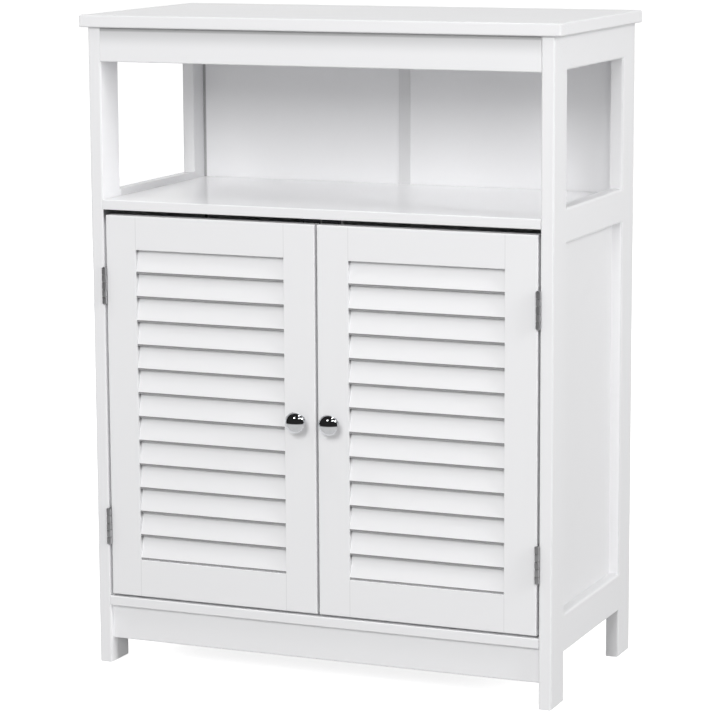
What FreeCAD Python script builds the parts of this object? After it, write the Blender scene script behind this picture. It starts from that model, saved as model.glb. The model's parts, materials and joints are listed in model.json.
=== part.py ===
import FreeCAD, Part

import os
import re

import Sketcher

# Louvred door cabinet in millimetres. X runs to the right, Y to the rear and Z up. The origin
# lies on the floor, midway between the sides and midway between the knobs and the rear face.

Vector = FreeCAD.Vector
Rotation = FreeCAD.Rotation

SIDES = {"left": -1, "right": 1}
TOUCH = 0.01

SIZES = {
    # carcass
    "body_width": 592,
    "body_depth": 299,
    "overall_height": 800,
    "top_width": 610,
    "top_thick": 15,
    "top_overhang": 6,
    "top_round": 2,
    # side frames
    "side_thick": 16,
    "side_stile": 45,
    "side_top_rail": 41,
    "side_middle_rail": 41,
    "side_low_rail": 46,
    "window_height": 158,
    "leg_gap": 60,
    "side_round": 2,
    "opening_round": 3,
    "infill_thick": 3,
    "infill_lap": 8,
    # cross boards
    "apron_height": 41,
    "apron_thick": 16,
    "shelf_thick": 12,
    "open_shelf_low": 565.5,
    "bottom_panel_low": 73,
    "plinth_height": 43,
    "plinth_thick": 15,
    "plinth_setback": 7,
    "board_round": 1.5,
    # back
    "back_thick": 3,
    "back_inset": 13,
    "back_play": 0.5,
    "groove_depth": 6,
    "strip_width": 15,
    "strip_flange": 1,
    "strip_web": 2,
    # adjustable shelf and its pins
    "inner_shelf_low": 320,
    "inner_shelf_depth": 257,
    "inner_shelf_play": 1,
    "shelf_pin_radius": 2.5,
    "shelf_pin_plug": 8,
    "shelf_pin_tongue": 9,
    "shelf_pin_width": 8,
    "shelf_pin_inset": 30,
    "shelf_pin_fit": 0.05,
    "shelf_pin_step": 48,
    "shelf_pin_rows": 3,
    # doors
    "door_low": 88,
    "door_height": 471,
    "door_thick": 16,
    "door_stile": 40,
    "door_top_rail": 41,
    "door_low_rail": 46,
    "hinge_gap": 3,
    "meeting_gap": 3,
    "door_chamfer": 1.2,
    "rail_chamfer": 0.5,
    "tenon_thick": 6,
    "tenon_height": 26,
    "tenon_reach": 10,
    # louvre slats
    "slat_count": 13,
    "slat_thick": 5,
    "slat_chord": 36,
    "slat_tilt": 16,
    "slat_chamfer": 1.5,
    "slat_setback": 0.9,
    "slat_lift": 0.4,
    "slat_play": 0.25,
    "slot_depth": 6,
    "rebate_depth": 8.5,
    "rebate_height": 8,
    # butt hinges
    "hinge_length": 45,
    "hinge_inset": 86,
    "hinge_forward": 3.2,
    "knuckle_radius": 3,
    "knuckle_count": 5,
    "knuckle_play": 0.2,
    "knuckle_flats": 16,
    "pin_radius": 1.5,
    "pin_fit": 0.05,
    "pin_proud": 0.5,
    "leaf_thick": 1.2,
    "leaf_reach": 13.5,
    "leaf_clearance": 0.4,
    "leaf_screw_pitch": 26,
    "small_flats": 8,
    # countersunk wood screws
    "screw_radius": 1.25,
    "screw_head_radius": 2.45,
    "screw_head_depth": 1.15,
    "screw_length": 12,
    "screw_tip": 2,
    "screw_tip_radius": 0.3,
    "screw_play": 0.1,
    "pilot_depth": 11,
    # knobs and their machine screws
    "knob_projection": 24,
    "knob_radius": 12.5,
    "knob_base_radius": 7,
    "knob_base_height": 1.5,
    "knob_stem_radius": 4.5,
    "knob_cove": 2,
    "knob_neck": 10,
    "knob_flare": 13.2,
    "knob_flare_radius": 8.4,
    "knob_rim": 16.8,
    "knob_rim_height": 1.4,
    "knob_flats": 32,
    "knob_bore_depth": 9,
    "knob_screw_radius": 2,
    "knob_screw_head_radius": 4,
    "knob_screw_head": 2.4,
    "knob_screw_length": 24,
    "knob_screw_fit": 0.2,
    # magnetic catch and strikers
    "catch_width": 46,
    "catch_depth": 13,
    "catch_height": 14.5,
    "magnet_width": 12,
    "magnet_height": 7,
    "magnet_low": 0.5,
    "magnet_proud": 1,
    "magnet_gap": 0.3,
    "catch_screw_length": 20,
    "catch_pilot_depth": 5.5,
    "striker_width": 14,
    "striker_height": 8,
    "striker_thick": 1.2,
    "striker_inset": 11,
}

# Places worked out from the sizes, as expressions of the spreadsheet.
FRONT = "((knob_projection - body_depth) / 2)"
INNER = "(body_width / 2 - side_thick)"
BODY_TOP = "(overall_height - top_thick)"
REAR_STILE = "(body_depth - side_stile)"
WINDOW_TOP = f"({BODY_TOP} - side_top_rail)"
WINDOW_LOW = f"({WINDOW_TOP} - window_height)"
PANEL_TOP = f"({WINDOW_LOW} - side_middle_rail)"
PANEL_LOW = "(leg_gap + side_low_rail)"
BACK_FRONT = "(body_depth - back_inset - back_thick)"
STRIP_FRONT = f"({BACK_FRONT} - strip_flange)"
BACK_HEIGHT = f"({BODY_TOP} - bottom_panel_low)"
DOOR_WIDTH = f"({INNER} - hinge_gap - meeting_gap / 2)"
DOOR_OPENING = f"({DOOR_WIDTH} - 2 * door_stile)"
SLAT_HALF_HEIGHT = (
    "(slat_chord / 2 * cos(slat_tilt * 1 deg)"
    " + (slat_thick / 2 - slat_chamfer) * sin(slat_tilt * 1 deg))")
SLAT_HALF_DEPTH = (
    "((slat_chord / 2 - slat_chamfer) * sin(slat_tilt * 1 deg)"
    " + slat_thick / 2 * cos(slat_tilt * 1 deg))")
SLAT_PITCH = "((door_height - door_top_rail - door_low_rail) / slat_count)"
SLAT_AXIS_Y = f"(slat_setback + {SLAT_HALF_DEPTH})"
SLAT_AXIS_Z = f"(door_low_rail + slat_lift + {SLAT_HALF_HEIGHT})"
HINGE_AXIS_X = f"({INNER} - hinge_gap / 2)"
HINGE_AXIS_Y = f"({FRONT} - hinge_forward)"
LEAF_REAR = "(hinge_forward + leaf_reach)"
LEAF_FRONT = "(knuckle_radius + leaf_clearance)"
LEAF_SCREW_Y = f"(({LEAF_FRONT} + {LEAF_REAR}) / 2)"
KNUCKLE_PITCH = "(hinge_length / knuckle_count)"
HINGE_LOWS = ("(hinge_inset - hinge_length / 2)",
              "(door_height - hinge_inset - hinge_length / 2)")
SCREW_STEPS = ("(hinge_length - leaf_screw_pitch) / 2", "(hinge_length + leaf_screw_pitch) / 2")
STRIKER_X = "(meeting_gap / 2 + striker_inset)"
STRIKER_Z = "(door_height - door_chamfer - striker_height / 2)"
CATCH_Y = f"({FRONT} + door_thick + striker_thick + magnet_gap + magnet_proud)"
SHELF_PIN_Z = "(inner_shelf_low - shelf_pin_radius)"
LOWEST_PIN_Z = f"({SHELF_PIN_Z} - shelf_pin_step * (shelf_pin_rows - 1) / 2)"
LOW_TENON = "((door_low_rail - tenon_height) / 2)"
HIGH_TENON = "(door_height - (door_top_rail - rebate_height + tenon_height) / 2)"
KNOB_X = "(meeting_gap / 2 + door_stile / 2)"
KNOB_DOME_LOW = "(knob_rim + knob_rim_height)"
KNOB_DOME_RISE = "(knob_projection - knob_rim - knob_rim_height)"
KNOB_DOME_STEPS = (0, 25, 45, 65)
KNOB_CROWN_RADIUS = "(knob_radius * cos(80 deg))"
BORE_RADIUS = "((pin_radius + pin_fit) / cos(180 deg / small_flats))"

doc = FreeCAD.newDocument("louvred_cabinet")
sheet = doc.addObject("Spreadsheet::Sheet", "Dim")
for row, (alias, size) in enumerate(SIZES.items(), 1):
    sheet.set(f"A{row}", alias)
    sheet.set(f"B{row}", str(size))
    sheet.setAlias(f"B{row}", alias)
doc.recompute()

ALIASES = re.compile(r"\b(" + "|".join(SIZES) + r")\b")


# ---------------------------------------------------------------- expressions

def bound(expression):
    """The expression with each size written as a reference to its cell."""
    return ALIASES.sub(r"Dim.\1", expression)


def value(expression):
    """The number that an expression of the spreadsheet gives now."""
    return float(sheet.evalExpression(bound(expression)))


# ---------------------------------------------------------------- sketches

def add_sketch(body, name, role, offset="0"):
    """Sketch on an origin plane of its body, moved along the plane's normal by the offset."""
    plane = next(item for item in body.Origin.OriginFeatures if item.Role == role)
    sketch = body.newObject("Sketcher::SketchObject", name)
    sketch.AttachmentSupport = [(plane, "")]
    sketch.MapMode = "FlatFace"
    sketch.setExpression("AttachmentOffset.Base.z", bound(offset))
    return sketch


def bind(sketch, kind, edge, point, expression):
    """Hold a point's distance from the sketch's origin along one axis to an expression."""
    rule = Sketcher.Constraint(kind, -1, 1, edge, point, value(expression))
    number = sketch.addConstraint(rule)
    sketch.setExpression(f"Constraints[{number}]", bound(expression))


def outline(sketch, corners):
    """Closed outline of straight edges through corners, each a pair of expressions."""
    points = [Vector(value(across), value(up), 0) for across, up in corners]
    edges = []
    for start, end in zip(points, points[1:] + points[:1]):
        edges.append(sketch.addGeometry(Part.LineSegment(start, end), False))
    for edge, following, corner in zip(edges, edges[1:] + edges[:1], corners):
        sketch.addConstraint(Sketcher.Constraint("Coincident", edge, 2, following, 1))
        bind(sketch, "DistanceX", edge, 1, corner[0])
        bind(sketch, "DistanceY", edge, 1, corner[1])


def rectangle(sketch, left, low, right, high):
    """Rectangle between two corners."""
    outline(sketch, [(left, low), (right, low), (right, high), (left, high)])


def regular_polygon(sketch, across, up, radius, flats):
    """Polygon about a point, through corners at a radius: a small bore drawn with flats."""
    corners = []
    for number in range(int(value(flats))):
        angle = f"{number} * 360 / {flats} * 1 deg"
        corners.append((f"{across} + ({radius}) * cos({angle})",
                        f"{up} + ({radius}) * sin({angle})"))
    outline(sketch, corners)


def slat_section(sketch):
    """Cross section of a slat about the sketch's origin, upright, with bevelled corners."""
    wide = "slat_thick / 2"
    high = "slat_chord / 2"
    narrow = f"({wide} - slat_chamfer)"
    low = f"({high} - slat_chamfer)"
    outline(sketch, [
        (narrow, f"-{high}"), (wide, f"-{low}"), (wide, low), (narrow, high),
        (f"-{narrow}", high), (f"-{wide}", low), (f"-{wide}", f"-{low}"),
        (f"-{narrow}", f"-{high}")])


# ---------------------------------------------------------------- features

def new_body(label, place, turn=None):
    """Body at a place given by three expressions, after a turn about its own origin."""
    body = doc.addObject("PartDesign::Body", label)
    if turn:
        body.Placement = FreeCAD.Placement(Vector(), turn)
    for axis, expression in zip("xyz", place):
        body.setExpression(f"Placement.Base.{axis}", bound(expression))
    return body


def pad(body, sketch, name, length, reverse=False):
    """Raise a sketch along its normal, or against it."""
    feature = body.newObject("PartDesign::Pad", name)
    feature.Profile = sketch
    feature.setExpression("Length", bound(length))
    feature.Reversed = reverse
    return feature


def pocket(body, sketch, name, depth, reverse=False):
    """Cut a sketch against its normal, or along it, and make sure that material went."""
    doc.recompute()
    before = body.Shape.Volume
    feature = body.newObject("PartDesign::Pocket", name)
    feature.Profile = sketch
    feature.setExpression("Length", bound(depth))
    feature.Reversed = reverse
    doc.recompute()
    if body.Shape.Volume > before - TOUCH:
        raise RuntimeError(f"{body.Label}: {name} cuts nothing")
    return feature


def row_along(body, role, originals, name, length, count):
    """Repeat features along an origin axis of the body."""
    axis = next(item for item in body.Origin.OriginFeatures if item.Role == role)
    pattern = body.newObject("PartDesign::LinearPattern", name)
    pattern.Originals = originals
    pattern.Direction = (axis, [""])
    pattern.setExpression("Length", bound(length))
    pattern.setExpression("Occurrences", bound(count))
    body.Tip = pattern
    return pattern


def lies_at(edge, axis, place):
    """True for an edge that lies in the plane where the axis has this value."""
    low = getattr(edge.BoundBox, f"{axis}Min")
    high = getattr(edge.BoundBox, f"{axis}Max")
    return abs(low - place) < TOUCH and abs(high - place) < TOUCH


def round_edges(body, name, radius, chosen):
    """Fillet the edges of the body for which chosen(edge) is true."""
    doc.recompute()
    base = body.Tip
    names = [f"Edge{number}" for number, edge in enumerate(base.Shape.Edges, 1) if chosen(edge)]
    fillet = body.newObject("PartDesign::Fillet", name)
    fillet.Base = (base, names)
    fillet.setExpression("Radius", bound(radius))
    return fillet


def bevel_edges(body, name, size, chosen):
    """Chamfer the edges of the body for which chosen(edge) is true."""
    doc.recompute()
    base = body.Tip
    names = [f"Edge{number}" for number, edge in enumerate(base.Shape.Edges, 1) if chosen(edge)]
    chamfer = body.newObject("PartDesign::Chamfer", name)
    chamfer.Base = (base, names)
    chamfer.setExpression("Size", bound(size))
    return chamfer


def countersunk_holes(body, name, role, offset, places, reverse=False):
    """Screw holes through a plate at pairs of places, bevelled on its face at the offset."""
    sketch = add_sketch(body, f"{name}Outlines", role, offset)
    for across, up in places:
        regular_polygon(sketch, across, up, "screw_radius + screw_play", "small_flats")
    pocket(body, sketch, name, "leaf_thick", reverse)
    axis = "X" if role == "YZ_Plane" else "Y"
    face = value(offset) if axis == "X" else -value(offset)
    bevel_edges(body, f"{name}Bevels", "screw_head_depth", lambda edge: (
        lies_at(edge, axis, face) and edge.Length < value("screw_radius")))


def group(label, members):
    """Identical pieces of hardware as separate solids of one node."""
    compound = doc.addObject("Part::Compound", label)
    compound.Links = members
    return compound


# ---------------------------------------------------------------- carcass

def board(label, size, corner):
    """Plain board: its size along X, Y and Z, and its left, front, bottom corner."""
    width, depth, height = size
    body = new_body(label, corner)
    sketch = add_sketch(body, "Outline", "XY_Plane")
    rectangle(sketch, "0", "0", width, depth)
    pad(body, sketch, "Board", height)
    return body


def top_panel():
    body = board("top_panel", ("top_width", "body_depth + top_overhang", "top_thick"),
                 ("-top_width / 2", f"{FRONT} - top_overhang", BODY_TOP))
    round_edges(body, "SoftEdges", "top_round", lambda edge: True)
    return body


def side_frame(name, side):
    """Side cut from one board: two legs, a window, a lower opening and its inner rabbet."""
    body = new_body(f"{name}_side_frame", (f"{side} * {INNER}", FRONT, "0"))
    profile = add_sketch(body, "Profile", "YZ_Plane")
    outline(profile, [
        ("0", "0"), ("side_stile", "0"), ("side_stile", "leg_gap"),
        (REAR_STILE, "leg_gap"), (REAR_STILE, "0"), ("body_depth", "0"),
        ("body_depth", BODY_TOP), ("0", BODY_TOP)])
    rectangle(profile, "side_stile", WINDOW_LOW, REAR_STILE, WINDOW_TOP)
    rectangle(profile, "side_stile", PANEL_LOW, REAR_STILE, PANEL_TOP)
    pad(body, profile, "Board", "side_thick", side < 0)
    outer_face = side * value("side_thick")

    def on_outline(edge):
        upright = lies_at(edge, "Y", 0) or lies_at(edge, "Y", value("body_depth"))
        on_leg = edge.BoundBox.ZMax < value("leg_gap") + TOUCH
        outer = lies_at(edge, "X", outer_face) and (upright or on_leg)
        return outer or (lies_at(edge, "X", 0) and lies_at(edge, "Y", 0))

    def on_opening(edge):
        box = edge.BoundBox
        across = box.YMin > value("side_stile") - TOUCH and box.YMax < value(REAR_STILE) + TOUCH
        upward = box.ZMin > value(PANEL_LOW) - TOUCH and box.ZMax < value(WINDOW_TOP) + TOUCH
        return lies_at(edge, "X", outer_face) and across and upward

    round_edges(body, "OuterEdges", "side_round", on_outline)
    round_edges(body, "OpeningEdges", "opening_round", on_opening)

    rabbet = add_sketch(body, "Rabbet", "YZ_Plane")
    rectangle(rabbet, "side_stile - infill_lap", f"{PANEL_LOW} - infill_lap",
              f"{REAR_STILE} + infill_lap", f"{PANEL_TOP} + infill_lap")
    pocket(body, rabbet, "InfillRabbet", "infill_thick", side > 0)

    groove = add_sketch(body, "Groove", "YZ_Plane")
    rectangle(groove, BACK_FRONT, "bottom_panel_low", f"{BACK_FRONT} + back_thick", BODY_TOP)
    pocket(body, groove, "BackGroove", "groove_depth", side > 0)

    pin_rows = add_sketch(body, "PinRows", "YZ_Plane")
    for depth in ("shelf_pin_inset", "body_depth - shelf_pin_inset"):
        regular_polygon(pin_rows, depth, LOWEST_PIN_Z, "shelf_pin_radius + shelf_pin_fit",
                        "small_flats")
    holes = pocket(body, pin_rows, "PinHoles", "shelf_pin_plug", side > 0)
    row_along(body, "Z_Axis", [holes], "PinHoleRows",
              "shelf_pin_step * (shelf_pin_rows - 1)", "shelf_pin_rows")

    pilots = add_sketch(body, "Pilots", "YZ_Plane")
    for hinge_low in HINGE_LOWS:
        for step in SCREW_STEPS:
            regular_polygon(pilots, f"{LEAF_SCREW_Y} - hinge_forward",
                            f"door_low + {hinge_low} + {step}", "screw_radius", "small_flats")
    pocket(body, pilots, "HingePilots", "pilot_depth", side > 0)
    return body


def side_infill(name, side):
    """Thin board seated in the rabbet, flush with the side's inner face."""
    left = INNER if side > 0 else f"-{INNER} - infill_thick"
    return board(
        f"{name}_side_infill",
        ("infill_thick", "body_depth - 2 * side_stile + 2 * infill_lap",
         f"{PANEL_TOP} - {PANEL_LOW} + 2 * infill_lap"),
        (left, f"{FRONT} + side_stile - infill_lap", f"{PANEL_LOW} - infill_lap"))


def front_apron():
    body = board("front_apron", (f"2 * {INNER}", "apron_thick", "apron_height"),
                 (f"-{INNER}", FRONT, f"{BODY_TOP} - apron_height"))
    round_edges(body, "SoftEdge", "board_round",
                lambda edge: lies_at(edge, "Y", 0) and lies_at(edge, "Z", 0))
    return body


def cross_board(label, low):
    """Board between the sides, flush in front, that stops at the back's joining strip."""
    body = board(label, (f"2 * {INNER}", STRIP_FRONT, "shelf_thick"), (f"-{INNER}", FRONT, low))
    thick = value("shelf_thick")
    round_edges(body, "SoftEdges", "board_round", lambda edge: lies_at(edge, "Y", 0) and (
        lies_at(edge, "Z", 0) or lies_at(edge, "Z", thick)))
    return body


def open_shelf():
    """Floor of the open compartment, with the pilot hole of the catch's screw below."""
    body = cross_board("open_shelf", "open_shelf_low")
    pilot = add_sketch(body, "Pilot", "XY_Plane")
    regular_polygon(pilot, INNER, f"{CATCH_Y} - {FRONT} + catch_depth / 2", "screw_radius",
                    "small_flats")
    pocket(body, pilot, "CatchPilot", "catch_pilot_depth", True)
    return body


def front_plinth():
    body = board("front_plinth", (f"2 * {INNER}", "plinth_thick", "plinth_height"),
                 (f"-{INNER}", f"{FRONT} + plinth_setback", "bottom_panel_low - plinth_height"))
    round_edges(body, "SoftEdge", "board_round",
                lambda edge: lies_at(edge, "Y", 0) and lies_at(edge, "Z", 0))
    return body


def back_panel(name, side):
    """Half of the back, from the side's groove to the web of the joining strip."""
    width = f"({INNER} + groove_depth - back_play - strip_web / 2)"
    left = "strip_web / 2" if side > 0 else f"-strip_web / 2 - {width}"
    return board(f"back_panel_{name}", (width, "back_thick", BACK_HEIGHT),
                 (left, f"{FRONT} + {BACK_FRONT}", "bottom_panel_low"))


def back_joining_strip():
    """H-shaped strip whose flanges clasp the edges of both back panels."""
    body = new_body("back_joining_strip", ("0", f"{FRONT} + {STRIP_FRONT}", "bottom_panel_low"))
    sketch = add_sketch(body, "Profile", "XY_Plane")
    flange = "strip_width / 2"
    web = "strip_web / 2"
    inside = "strip_flange"
    behind = "strip_flange + back_thick"
    rear = "2 * strip_flange + back_thick"
    outline(sketch, [
        (f"-{flange}", "0"), (flange, "0"), (flange, inside), (web, inside),
        (web, behind), (flange, behind), (flange, rear), (f"-{flange}", rear),
        (f"-{flange}", behind), (f"-{web}", behind), (f"-{web}", inside),
        (f"-{flange}", inside)])
    pad(body, sketch, "Strip", BACK_HEIGHT)
    return body


def inner_shelf():
    """Adjustable shelf that lies loose on the tongues of its four pins."""
    body = board(
        "inner_shelf",
        (f"2 * ({INNER} - inner_shelf_play)", "inner_shelf_depth", "shelf_thick"),
        (f"inner_shelf_play - {INNER}",
         f"{FRONT} + {STRIP_FRONT} - inner_shelf_play - inner_shelf_depth", "inner_shelf_low"))
    thick = value("shelf_thick")
    round_edges(body, "SoftEdges", "board_round", lambda edge: lies_at(edge, "Y", 0) and (
        lies_at(edge, "Z", 0) or lies_at(edge, "Z", thick)))
    return body


def shelf_pin(number, side, depth):
    """Round plug in the side's hole with a flat-topped tongue under the shelf."""
    body = new_body(f"shelf_pin_{number}", (f"{side} * {INNER}", f"{FRONT} + {depth}",
                                            SHELF_PIN_Z))
    plug = add_sketch(body, "PlugOutline", "YZ_Plane")
    regular_polygon(plug, "0", "0", "shelf_pin_radius", "small_flats")
    pad(body, plug, "Plug", "shelf_pin_plug", side < 0)
    tongue = add_sketch(body, "TongueOutline", "YZ_Plane")
    rectangle(tongue, "-shelf_pin_width / 2", "0", "shelf_pin_width / 2", "shelf_pin_radius")
    pad(body, tongue, "Tongue", "shelf_pin_tongue", side > 0)
    return body


def shelf_pins():
    places = [(side, depth) for side in SIDES.values()
              for depth in ("shelf_pin_inset", "(body_depth - shelf_pin_inset)")]
    return group("shelf_pins", [shelf_pin(number, side, depth)
                                for number, (side, depth) in enumerate(places, 1)])


# ---------------------------------------------------------------- doors

def door_stile(label, outer_edge, reach, hinged):
    """Upright of a door, slotted for the slats along its inner edge.

    outer_edge is the X of the edge away from the slats, and reach the direction to them.
    """
    body = new_body(label, (outer_edge, FRONT, "door_low"))
    bar = add_sketch(body, "Outline", "XY_Plane")
    rectangle(bar, "0", "0", f"{reach} * door_stile", "door_thick")
    pad(body, bar, "Bar", "door_height")
    thick = value("door_thick")
    height = value("door_height")

    def on_rim(edge):
        on_face = lies_at(edge, "Y", 0) or lies_at(edge, "Y", thick)
        at_end = lies_at(edge, "Z", 0) or lies_at(edge, "Z", height)
        return on_face and (at_end or lies_at(edge, "X", 0))

    bevel_edges(body, "SoftEdges", "door_chamfer", on_rim)

    inner_edge = f"{reach} * door_stile"
    slot = add_sketch(body, "SlatSlot", "YZ_Plane", inner_edge)
    slot.AttachmentOffset = FreeCAD.Placement(Vector(), Rotation(Vector(0, 0, 1), 1))
    slot.setExpression("AttachmentOffset.Base.x", bound(SLAT_AXIS_Y))
    slot.setExpression("AttachmentOffset.Base.y", bound(SLAT_AXIS_Z))
    slot.setExpression("AttachmentOffset.Rotation.Angle", bound("-slat_tilt * 1 deg"))
    slat_section(slot)
    first = pocket(body, slot, "FirstSlot", "slot_depth", reach < 0)
    row_along(body, "Z_Axis", [first], "Slots", f"{SLAT_PITCH} * (slat_count - 1)",
              "slat_count")

    mortises = add_sketch(body, "MortiseOutlines", "YZ_Plane", inner_edge)
    for low in (LOW_TENON, HIGH_TENON):
        rectangle(mortises, "(door_thick - tenon_thick) / 2", low,
                  "(door_thick + tenon_thick) / 2", f"{low} + tenon_height")
    pocket(body, mortises, "Mortises", "tenon_reach", reach < 0)

    if hinged:
        pilots = add_sketch(body, "Pilots", "YZ_Plane")
        for hinge_low in HINGE_LOWS:
            for step in SCREW_STEPS:
                regular_polygon(pilots, f"{LEAF_SCREW_Y} - hinge_forward",
                                f"{hinge_low} + {step}", "screw_radius", "small_flats")
        pocket(body, pilots, "HingePilots", "pilot_depth", reach > 0)
        return body

    knob_hole = add_sketch(body, "KnobHole", "XZ_Plane")
    regular_polygon(knob_hole, f"{reach} * door_stile / 2", "door_height / 2",
                    "knob_screw_radius + knob_screw_fit", "small_flats")
    pocket(body, knob_hole, "KnobScrewHole", "door_thick")
    striker_hole = add_sketch(body, "StrikerHole", "XZ_Plane", "-door_thick")
    regular_polygon(striker_hole, f"{reach} * striker_inset", STRIKER_Z, "screw_radius",
                    "small_flats")
    pocket(body, striker_hole, "StrikerPilot", "pilot_depth", True)
    return body


def door_rail(label, left_shoulder, low, height, tenon_low, is_top):
    """Cross rail of a door with a stub tenon at each end."""
    body = new_body(label, (left_shoulder, FRONT, f"door_low + {low}"))
    bar = add_sketch(body, "Outline", "YZ_Plane")
    rectangle(bar, "0", "0", "door_thick", height)
    pad(body, bar, "Bar", DOOR_OPENING)
    thick = value("door_thick")
    outer_z = value(height) if is_top else 0
    inner_z = 0 if is_top else value(height)
    bevel_edges(body, "OuterEdges", "door_chamfer", lambda edge: lies_at(edge, "Z", outer_z) and (
        lies_at(edge, "Y", 0) or lies_at(edge, "Y", thick)))
    bevel_edges(body, "InnerEdge", "rail_chamfer",
                lambda edge: lies_at(edge, "Z", inner_z) and lies_at(edge, "Y", 0))
    tenon = add_sketch(body, "TenonOutline", "YZ_Plane", "-tenon_reach")
    rectangle(tenon, "(door_thick - tenon_thick) / 2", f"{tenon_low} - {low}",
              "(door_thick + tenon_thick) / 2", f"{tenon_low} - {low} + tenon_height")
    pad(body, tenon, "Tenons", f"{DOOR_OPENING} + 2 * tenon_reach")
    if is_top:
        rebate = add_sketch(body, "RebateOutline", "YZ_Plane")
        rectangle(rebate, "door_thick - rebate_depth", "0", "door_thick", "rebate_height")
        pocket(body, rebate, "SlatRebate", DOOR_OPENING, True)
    return body


def door_slat(label, left_shoulder, number):
    """Louvre slat, tilted with its top to the rear, that ends inside the stiles' slots."""
    body = new_body(
        label,
        (f"{left_shoulder} - slot_depth + slat_play", f"{FRONT} + {SLAT_AXIS_Y}",
         f"door_low + {SLAT_AXIS_Z} + {number} * {SLAT_PITCH}"),
        Rotation(Vector(-1, 0, 0), 1))
    body.setExpression("Placement.Rotation.Angle", bound("slat_tilt * 1 deg"))
    section = add_sketch(body, "Section", "YZ_Plane")
    slat_section(section)
    pad(body, section, "Blade", f"{DOOR_OPENING} + 2 * (slot_depth - slat_play)")
    return body


# ---------------------------------------------------------------- hardware

def hinge_leaf(label, side, low, on_door):
    """Curled leaf of a butt hinge: its plate and every other knuckle of the barrel."""
    towards = -side if on_door else side
    body = new_body(label, (f"{side} * {HINGE_AXIS_X}", HINGE_AXIS_Y, f"door_low + {low}"))
    inner = f"{towards} * (hinge_gap / 2 - leaf_thick)"
    outer = f"{towards} * hinge_gap / 2"
    first = KNUCKLE_PITCH if on_door else "0"
    count = "(knuckle_count - 1) / 2" if on_door else "(knuckle_count + 1) / 2"
    knuckle_length = f"{KNUCKLE_PITCH} - knuckle_play"

    plate = add_sketch(body, "PlateOutline", "XY_Plane")
    rectangle(plate, inner, LEAF_FRONT, outer, LEAF_REAR)
    pad(body, plate, "Plate", "hinge_length")
    neck = add_sketch(body, "NeckOutline", "XY_Plane", f"{first} + knuckle_play / 2")
    rectangle(neck, inner, "(pin_radius + knuckle_radius) / 2", outer, LEAF_FRONT)
    necks = pad(body, neck, "Neck", knuckle_length)
    ring = add_sketch(body, "KnuckleOutline", "XY_Plane", f"{first} + knuckle_play / 2")
    regular_polygon(ring, "0", "0", "knuckle_radius", "knuckle_flats")
    knuckle = pad(body, ring, "Knuckle", knuckle_length)
    row_along(body, "Z_Axis", [necks, knuckle], "Knuckles",
              f"2 * {KNUCKLE_PITCH} * ({count} - 1)", count)
    bore = add_sketch(body, "BoreOutline", "XY_Plane")
    regular_polygon(bore, "0", "0", BORE_RADIUS, "small_flats")
    pocket(body, bore, "Bore", "hinge_length", True)
    countersunk_holes(body, "ScrewHoles", "YZ_Plane", inner,
                      [(LEAF_SCREW_Y, step) for step in SCREW_STEPS], towards > 0)
    return body


def turned(label, stations, flats, place, turn):
    """Solid through rings of flats, each a pair of radius and height along its own Z."""
    rings = []
    for number, (radius, height) in enumerate(stations, 1):
        ring = doc.addObject("Part::RegularPolygon", f"{label}_ring_{number}")
        ring.setExpression("Polygon", bound(flats))
        ring.setExpression("Circumradius", bound(radius))
        ring.setExpression("Placement.Base.z", bound(height))
        rings.append(ring)
    solid = doc.addObject("Part::Loft", label)
    solid.Sections = rings
    solid.Solid = True
    solid.Ruled = True
    solid.Placement = FreeCAD.Placement(Vector(), turn)
    for axis, expression in zip("xyz", place):
        solid.setExpression(f"Placement.Base.{axis}", bound(expression))
    return solid


def hinge_pin(label, side, low):
    return turned(label, [("pin_radius", "0"), ("pin_radius", "hinge_length + 2 * pin_proud")],
                  "small_flats",
                  (f"{side} * {HINGE_AXIS_X}", HINGE_AXIS_Y, f"door_low + {low} - pin_proud"),
                  Rotation())


def wood_screw(label, place, turn, length="screw_length"):
    """Countersunk screw; its head is flush at its own origin and its tip points down its Z."""
    return turned(label, [
        ("screw_tip_radius", f"-({length})"), ("screw_radius", f"screw_tip - ({length})"),
        ("screw_radius", "-screw_head_depth"), ("screw_head_radius", "0")],
        "small_flats", place, turn)


def leaf_screws(name, side, on_door):
    """Screws of a door's four leaf holes, or of the same holes in the side frame."""
    towards = -side if on_door else side
    inner = f"{side} * {HINGE_AXIS_X} + {towards} * (hinge_gap / 2 - leaf_thick)"
    turn = Rotation(Vector(0, 1, 0), -90 * towards)
    return [wood_screw(f"{name}_{hinge}{screw}",
                       (inner, f"{HINGE_AXIS_Y} + {LEAF_SCREW_Y}", f"door_low + {low} + {step}"),
                       turn)
            for hinge, low in enumerate(HINGE_LOWS, 1)
            for screw, step in enumerate(SCREW_STEPS, 1)]


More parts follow.
